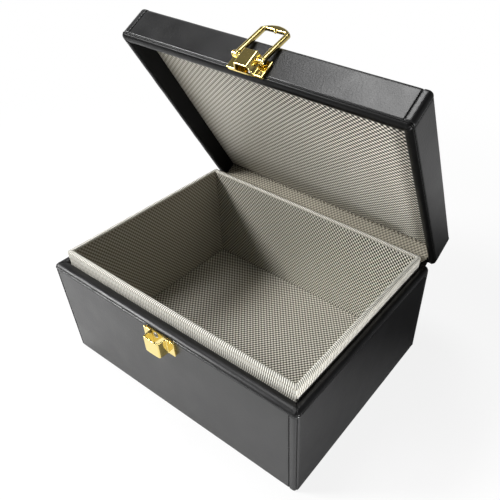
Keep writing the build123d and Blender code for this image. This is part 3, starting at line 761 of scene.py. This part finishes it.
def trayPiece(side):
    look, plan, wall = trayLook, case["ledgePlan"], case["trayWall"]
    section = traySection()
    length, tangent = lineFrame(section)
    half = sideHalf(side)
    alongs = [*np.linspace(-2, -1, 7), *np.linspace(-1, -0.96, 7), *np.linspace(-0.96, 0.96, 90),
              *np.linspace(0.96, 1, 7), *np.linspace(1, 2, 7)]
    alongs = sorted(set(round(float(v), 5) for v in alongs))
    outer = np.zeros((len(section), len(alongs), 3))
    inner, uv = np.zeros_like(outer), np.zeros((len(section), len(alongs), 2))
    depth = np.zeros_like(uv)
    full = plan[1] if side in ("front", "back") else (plan[0] + plan[2]) / 2
    for i, (inward, height) in enumerate(section):
        nx, nz = -tangent[i][1], tangent[i][0]
        overRim = 0.0 if inward > wall - 0.01 else 1.0
        for j, along in enumerate(alongs):
            for grid, push in ((outer, 0.0), (inner, look["thick"])):
                inset = inward + nx * push
                small = max(look["outerCorner"] * (1 - inset / wall), look["leastRound"])
                x, y = ringPlace(side, tuple(width + inset for width in plan), small, 1.0, along)
                z = height + nz * push
                if push == 0.0 and height > look["waveFrom"]:
                    x, y = (x + ripple(x, y, z, look["waverSize"], look["waver"]),
                            y + ripple(y, z, x, look["waverSize"], look["waver"]))
                    z += ripple(x, y, 5, look["waveSize"], look["wave"])
                grid[i, j] = (x, y, z)
            beyond = (abs(along) - 1) * look["cornerWeave"] if abs(along) > 1 else 0.0
            position = max(-1, min(1, along)) * (half - full) + (1 if along > 0 else -1) * beyond
            cellWide, cellTall = weaveLook["wallCell"]
            uv[i, j] = (position / cellWide + look["weaveStart"][side], length[i] / cellTall)
            clear = look["innerClear"][side]
            if side == "back":
                clearer = max(0.0, min(1.0, (x - look["shadeFrom"]) / look["shadeReach"]))
                clear *= look["backShadeClear"] + (1 - look["backShadeClear"]) * clearer
            depth[i, j] = (clear * (1 - overRim) + look["rimClear"] * overRim, overRim)
    made = gridShell("trayFabric_" + side, outer, inner, weave, uv, depth, body="box",
                     slotName="shielding_fabric", sharp=60)
    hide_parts("liner_fabric_" + side)


for side in sideCorners:
    trayPiece(side)

print("hardware")
# cast parts keep their shape but lose their hard edges: voxel size in millimetres, smoothing steps, body
castLook = {"clasp_bridge": (0.22, 8, "lid"), "clasp_loop": (0.26, 9, "clasp_loop"),
            "keeper_tongue": (0.2, 6, "box")}


def castCopy(node, voxel, steps, body):
    rough = bpy.data.meshes.new(node + "Rough")
    work = bmesh.new()
    work.from_mesh(frame["nodes"][node].data)
    work.transform(frame["nodes"][node].matrix_world)
    bmesh.ops.remove_doubles(work, verts=work.verts, dist=sliverEdge)
    work.to_mesh(rough)
    work.free()
    guide = linkObject(node + "Guide", rough)
    voxels = guide.modifiers.new("voxels", "REMESH")
    voxels.mode, voxels.voxel_size = "VOXEL", voxel * mm
    soften = guide.modifiers.new("soften", "SMOOTH")
    soften.factor, soften.iterations = 0.5, steps
    mesh = bpy.data.meshes.new_from_object(guide.evaluated_get(bpy.context.evaluated_depsgraph_get()))
    mesh.name = node + "Cast"
    bpy.data.objects.remove(guide)
    mesh.shade_smooth()
    mesh.materials.clear()
    mesh.materials.append(gold)
    made = linkObject(node + "Cast", mesh)
    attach(made, body)
    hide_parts(node)


for node, (voxel, steps, body) in castLook.items():
    castCopy(node, voxel, steps, body)

print("hinge leather and gusset")


def swung(y, z):
    # where a point of the closed lid is once the lid is open
    point = opened @ Vector((0, y * mm, z * mm))
    return point.y / mm, point.z / mm


def smoothLine(points, count):
    # a Catmull-Rom line through the points
    knots = [points[0]] + list(points) + [points[-1]]
    line = []
    for k in range(1, len(knots) - 2):
        a, b, c, d = (np.array(p) for p in knots[k - 1:k + 3])
        for s in np.linspace(0, 1, count, endpoint=False):
            bend, twist = 2 * a - 5 * b + 4 * c - d, 3 * b - a - 3 * c + d
            line.append(tuple(0.5 * ((2 * b) + (c - a) * s + bend * s ** 2 + twist * s ** 3)))
    return line + [tuple(points[-1])]


# long folds with shorter ones over them: sizes across and along
# clear is how plainly the gusset's check shows; the rest fades into painted shade
foldLook = {"long": (11, 30), "short": (4, 14), "shortShare": 0.4, "clear": 0.6}


def stripSheet(name, line, half, thick, material, uvScale, wrinkle, slotName):
    (longX, longY), (shortX, shortY) = foldLook["long"], foldLook["short"]
    length, tangent = lineFrame(line)
    xs = spread(-half, half, coarse=2.5, fine=0.4, band=2.0)
    outer = np.zeros((len(line), len(xs), 3))
    inner = np.zeros_like(outer)
    uv = np.zeros((len(line), len(xs), 2))
    for i, (y, z) in enumerate(line):
        ny, nz = -tangent[i][1], tangent[i][0]
        ease = sin(pi * min(1, length[i] / length[-1]))
        for j, x in enumerate(xs):
            folds = noise.noise(Vector((x / longX, length[i] / longY, 2.0)))
            folds += foldLook["shortShare"] * noise.noise(Vector((x / shortX, length[i] / shortY, 5.0)))
            lift = wrinkle * ease * folds
            for grid, push in ((outer, lift + thick / 2), (inner, lift - thick / 2)):
                grid[i, j] = (x, y + ny * push, z + nz * push)
            uv[i, j] = (x / uvScale[0], length[i] / uvScale[1])
    depth = np.tile((foldLook["clear"], 0.0), (*outer.shape[:2], 1))
    made = gridShell(name, outer, inner, material, uv, depth, body=None, slotName=slotName, sharp=70)
    return made, length[-1]


# the gusset runs from the tray's rim over the ledge to the lower edge of the lid's panel
gussetLook = {"half": 93.3, "thick": 0.4, "wrinkle": 0.45}
gussetLine = smoothLine([(71.85, 84.9), (72.2, 82.2), (73.4, 79.6), (75.6, 78.0), (78.4, 77.0), (80.6, 76.2),
                         (82.6, 75.55), swung(72.3, 79.2), swung(72.3, 83.0),
                         swung(72.35, case["panel"] - 0.1)], 5)
# the gusset is in the darker copy of the cloth: painted shade
gusset, gussetLength = stripSheet("hingeGussetFabric", gussetLine, gussetLook["half"], gussetLook["thick"],
                                  weaveShaded, weaveLook["wallCell"], gussetLook["wrinkle"], "shielding_fabric")
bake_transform(gusset)
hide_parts("hinge_gusset")

# the strip runs from the back cover over its fold to the lid's back cover
hingeLook = {"half": 94.4, "thick": 0.7}
flapFold = swung(74.62, 69.5)
hingeLine = smoothLine([(74.6, 53.1), (74.6, 58.0), (74.6, 63.0), (74.62, 66.0), (75.1, 67.6), flapFold,
                        swung(74.62, 74.0), swung(74.62, 80.0), swung(74.62, 85.4)], 6)
hingeSkin, hingeLength = stripSheet("hingeLeatherStrip", hingeLine, hingeLook["half"], hingeLook["thick"],
                                    leather, (1.0, 1.0), 0.0, "black_leather")
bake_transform(hingeSkin)
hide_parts("hinge_leather")

print("stitches")
stitchLook = {"pitch": 2.3, "length": 1.5, "radius": 0.34, "boxRadius": 0.46, "sunk": 0.30, "fromEnd": 1.0,
              "fromBend": 3.2, "segments": 8, "rings": 6}
creaseLook = {"pitch": 3.6, "length": 1.9, "radius": 0.42, "end": 91.0, "step": 2.0, "fromPanelEnd": 0.2,
              "sunk": 1.1}


def polyline(name, lines):
    verts, edges = [], []
    for line in lines:
        first = len(verts)
        verts += [Vector(p) * mm for p in line]
        edges += [(k, k + 1) for k in range(first, len(verts) - 1)]
    mesh = bpy.data.meshes.new(name)
    mesh.from_pydata(verts, edges, [])
    return linkObject(name, mesh)


def stitchTree(finish):
    # one short thread every pitch along the guide's lines, each turned to the line
    tree = bpy.data.node_groups.new("stitchesAlongSeam", "GeometryNodeTree")
    tree.interface.new_socket("Geometry", in_out="INPUT", socket_type="NodeSocketGeometry")
    for socketName, value in (("Pitch", stitchLook["pitch"]), ("Stitch Length", stitchLook["length"]),
                              ("Thread Radius", stitchLook["radius"])):
        socket = tree.interface.new_socket(socketName, in_out="INPUT", socket_type="NodeSocketFloat")
        socket.default_value = value * mm
    tree.interface.new_socket("Geometry", in_out="OUTPUT", socket_type="NodeSocketGeometry")
    given = addNode(tree, "NodeGroupInput").outputs
    curve = addNode(tree, "GeometryNodeMeshToCurve", {"Mesh": given["Geometry"]})
    even = addNode(tree, "GeometryNodeResampleCurve", {"Curve": curve.outputs[0], "Length": given["Pitch"]},
                   mode="LENGTH")
    heading = addNode(tree, "GeometryNodeInputTangent")
    turned = addNode(tree, "FunctionNodeAlignRotationToVector", {"Vector": heading.outputs[0]}, axis="Z")
    ball = addNode(tree, "GeometryNodeMeshUVSphere", {"Segments": stitchLook["segments"],
                                                      "Rings": stitchLook["rings"], "Radius": 1.0})
    radius, half = given["Thread Radius"], mathNode(tree, "MULTIPLY", given["Stitch Length"], 0.5)
    size = addNode(tree, "ShaderNodeCombineXYZ", {0: radius, 1: radius, 2: half})
    placed = addNode(tree, "GeometryNodeInstanceOnPoints", {
        "Points": even.outputs[0], "Instance": ball.outputs[0],
        "Rotation": turned.outputs[0], "Scale": size.outputs[0]})
    real = addNode(tree, "GeometryNodeRealizeInstances", {0: placed.outputs[0]})
    smooth = addNode(tree, "GeometryNodeSetShadeSmooth", {0: real.outputs[0]})
    dressed = addNode(tree, "GeometryNodeSetMaterial", {"Geometry": smooth.outputs[0], "Material": finish})
    addNode(tree, "NodeGroupOutput", {0: dressed.outputs[0]})
    return tree


def stitchRow(name, lines, tree, finish, body, sizes):
    guide = polyline(name + "Guide", lines)
    rows = guide.modifiers.new("stitches", "NODES")
    rows.node_group = tree
    for item in tree.interface.items_tree:
        if item.in_out == "INPUT" and item.name in sizes:
            rows[item.identifier] = sizes[item.name] * mm
    result = bpy.data.meshes.new_from_object(guide.evaluated_get(bpy.context.evaluated_depsgraph_get()))
    result.name = name
    result.materials.clear()
    result.materials.append(finish)
    made = linkObject(name, result)
    bpy.data.objects.remove(guide)
    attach(made, body)


def onLid(x, y, z):
    return opened @ (Vector((x, y, z)) * mm) / mm


leatherStitches = stitchTree(thread)
bendGap, endGap = stitchLook["fromBend"], stitchLook["fromEnd"]
seamRows = {"box": (bendGap, boxEdge - endGap, stitchLook["boxRadius"]),
            "lid": (lidEdge + endGap, lidTop - bendGap, stitchLook["radius"])}
for body, (low, high, radius) in seamRows.items():
    lines = []
    for corner, (sx, sy) in corners.items():
        # only the seam on the front or back shows its stitches, the other one is turned in
        x, y = cornerPoint(stripSeams[body][corner][0], stitchLook["sunk"])
        place = onLid if body == "lid" else (lambda *point: Vector(point))
        lines.append([place(sx * x, sy * y, z) for z in np.arange(low, high, 1.0)])
    stitchRow(body + "CornerStitches", lines, leatherStitches, thread, body,
              {"Thread Radius": radius})
crease = [onLid(x, deep - panelPlan[2] + creaseLook["fromPanelEnd"], case["panel"] - creaseLook["sunk"])
          for x in np.arange(-creaseLook["end"], creaseLook["end"] + 0.5, creaseLook["step"])]
stitchRow("panelCreaseStitches", [crease], stitchTree(threadGrey), threadGrey, "lid",
          {"Pitch": creaseLook["pitch"], "Stitch Length": creaseLook["length"],
           "Thread Radius": creaseLook["radius"]})

print("stage, lights and camera")
# distances in metres from the middle of the box; the painted shadow band on the paper is measured along x + y
studio = {"floor": "#f7f7f7", "floorHalf": 6, "floorGlow": 0.85, "glowReach": (0.2, 0.55), "mirrorGlow": 0.05,
          "paperShadowFrom": (0.11, 0.22), "paperShadowTo": (0.32, 0.5), "paperShadowDarkness": 0.95, "fill": 0.06,
          "ceiling": 0.16, "ceilingRise": (0.3, 0.62), "farSide": 0.3, "farSideReach": (0.0, 0.7)}
floorMesh = bpy.data.meshes.new("studioFloor")
floorHalf = studio["floorHalf"]
floorMesh.from_pydata([(x * floorHalf, y * floorHalf, 0) for x, y in ((-1, -1), (1, -1), (1, 1), (-1, 1))], [],
                      [(0, 1, 2, 3)])
floorObject = linkObject("studioFloor", floorMesh)
paper, paperTree, paperShader = newMaterial("whitePaperSweep", Roughness=0.9,
                                            Base_Color=hexColour(studio["floor"]))
paperWhite = addNode(paperTree, "ShaderNodeEmission", {"Color": (1, 1, 1, 1), "Strength": 1.0}).outputs[0]
# black, for the painted shadow that reflections see on the paper
paperShadowBlack = addNode(paperTree, "ShaderNodeEmission", {"Strength": 0.0}).outputs[0]


def seenRays(tree, rays):
    # 1 for rays that show the background: straight from the camera, mirrored, or through glass
    straightOrMirrored = mathNode(tree, "MAXIMUM", rays["Is Camera Ray"], rays["Is Glossy Ray"])
    return mathNode(tree, "MAXIMUM", straightOrMirrored, rays["Is Transmission Ray"])


# straight rays see the paper mostly plain white, and away from the object as white as the room behind it
paperRays = addNode(paperTree, "ShaderNodeLightPath").outputs
paperPlace = addNode(paperTree, "ShaderNodeTexCoord").outputs["Object"]
paperReach = addNode(paperTree, "ShaderNodeVectorMath", {0: paperPlace}, operation="LENGTH").outputs["Value"]
paperGlow = rangeNode(paperTree, paperReach, studio["glowReach"], (studio["floorGlow"], 1.0), smooth=True)
paperDirect = mathNode(paperTree, "MULTIPLY", paperRays["Is Camera Ray"], paperGlow)
# mirrored ones see the lit paper with its shadow
paperMirror = mathNode(paperTree, "MULTIPLY", seenRays(paperTree, paperRays), studio["mirrorGlow"])
paperShare = mathNode(paperTree, "MAXIMUM", paperMirror, paperDirect)
paperMix = addNode(paperTree, "ShaderNodeMixShader", {0: paperShare, 1: paperShader.outputs[0], 2: paperWhite})
# painted shadow: in reflections only, a band of the paper to the right of and behind the box is darkened
# towards black, standing for the box's and lid's shadow there
paperAxes = addNode(paperTree, "ShaderNodeSeparateXYZ", {0: paperPlace}).outputs
paperAcross = mathNode(paperTree, "ADD", paperAxes[0], paperAxes[1])
paperShadowStart = rangeNode(paperTree, paperAcross, studio["paperShadowFrom"], (0.0, studio["paperShadowDarkness"]), smooth=True)
paperShadowEnd = rangeNode(paperTree, paperAcross, studio["paperShadowTo"], (1.0, 0.0), smooth=True)
paperShadowBand = mathNode(paperTree, "MULTIPLY", paperShadowStart, paperShadowEnd)
paperShadowMirrored = mathNode(paperTree, "MULTIPLY", paperShadowBand, paperRays["Is Glossy Ray"])
paperEnd = addNode(paperTree, "ShaderNodeMixShader", {0: paperShadowMirrored, 1: paperMix.outputs[0], 2: paperShadowBlack})
paperTree.links.new(paperEnd.outputs[0], paperTree.nodes["Material Output"].inputs[0])
floorMesh.materials.append(paper)

world = bpy.data.worlds.new("studioWorld")
bpy.context.scene.world = world
world.use_nodes = True
worldTree = world.node_tree
worldTree.nodes.clear()
worldRays = addNode(worldTree, "ShaderNodeLightPath").outputs
heading = addNode(worldTree, "ShaderNodeTexCoord").outputs["Generated"]
rise = addNode(worldTree, "ShaderNodeSeparateXYZ", {0: heading}).outputs
# white round the room, a dim ceiling above
sky = rangeNode(worldTree, rise[2], studio["ceilingRise"], (1.0, studio["ceiling"]), smooth=True)
# mirrored in the object, the white room is bright on the left and in front, and dim on the right and behind
across = mathNode(worldTree, "ADD", rise[0], rise[1])
sideways = rangeNode(worldTree, across, studio["farSideReach"], (1.0, studio["farSide"]), smooth=True)
mirrored = mathNode(worldTree, "MULTIPLY", sky, sideways)
shown = addNode(worldTree, "ShaderNodeMix", {0: worldRays["Is Camera Ray"], 2: mirrored, 3: 1.0}).outputs[0]
fill = addNode(worldTree, "ShaderNodeBackground", {0: (1, 1, 1, 1), 1: studio["fill"]}).outputs[0]
white = addNode(worldTree, "ShaderNodeBackground", {0: (1, 1, 1, 1), 1: shown}).outputs[0]
choose = addNode(worldTree, "ShaderNodeMixShader", {0: seenRays(worldTree, worldRays), 1: fill, 2: white})
addNode(worldTree, "ShaderNodeOutputWorld", {0: choose.outputs[0]})

lamps = {"key": {"to": (0.0, 0.0, 0.08), "from": (-0.62, -0.48, 0.68), "size": 0.26, "power": 11.8},
         "top": {"to": (0.0, 0.0, 0.12), "from": (-0.38, 0.16, 1.36), "size": 0.5, "power": 8.0},
         "side": {"to": (0.1, -0.06, 0.04), "from": (0.4, -0.15, 0.045), "size": 0.06, "power": 1.25}}
for lampName, lamp in lamps.items():
    light = bpy.data.lights.new(lampName, "AREA")
    light.shape, light.size, light.energy = "SQUARE", lamp["size"], lamp["power"]
    lightObject = linkObject(lampName, light)
    lightObject.location = lamp["from"]
    aim = Vector(lamp["to"]) - Vector(lamp["from"])
    lightObject.rotation_euler = aim.to_track_quat("-Z", "Y").to_euler()

# the camera's place is in millimetres, and its three directions are unit vectors
cameraSetup = {"place": (197.4, -208.1, 310.8), "lens": 39.47, "sensor": 36.0, "shift": (-0.15, 0.0488),
               "right": (0.82067, 0.56984, 0.04216), "down": (0.39475, -0.51207, -0.76286),
               "ahead": (-0.41312, 0.64269, -0.6452), "nearest": 0.01}
cameraData = bpy.data.cameras.new("camera")
cameraData.lens, cameraData.sensor_width = cameraSetup["lens"], cameraSetup["sensor"]
cameraData.shift_x, cameraData.shift_y = cameraSetup["shift"]
cameraData.clip_start = cameraSetup["nearest"]
camera = linkObject("camera", cameraData)
up, behind = ([-part for part in cameraSetup[key]] for key in ("down", "ahead"))
turn = Matrix((cameraSetup["right"], up, behind)).transposed()
camera.matrix_world = Matrix.Translation(Vector(cameraSetup["place"]) * mm) @ turn.to_4x4()
bpy.context.scene.camera = camera
bpy.context.scene.view_settings.view_transform = "Standard"
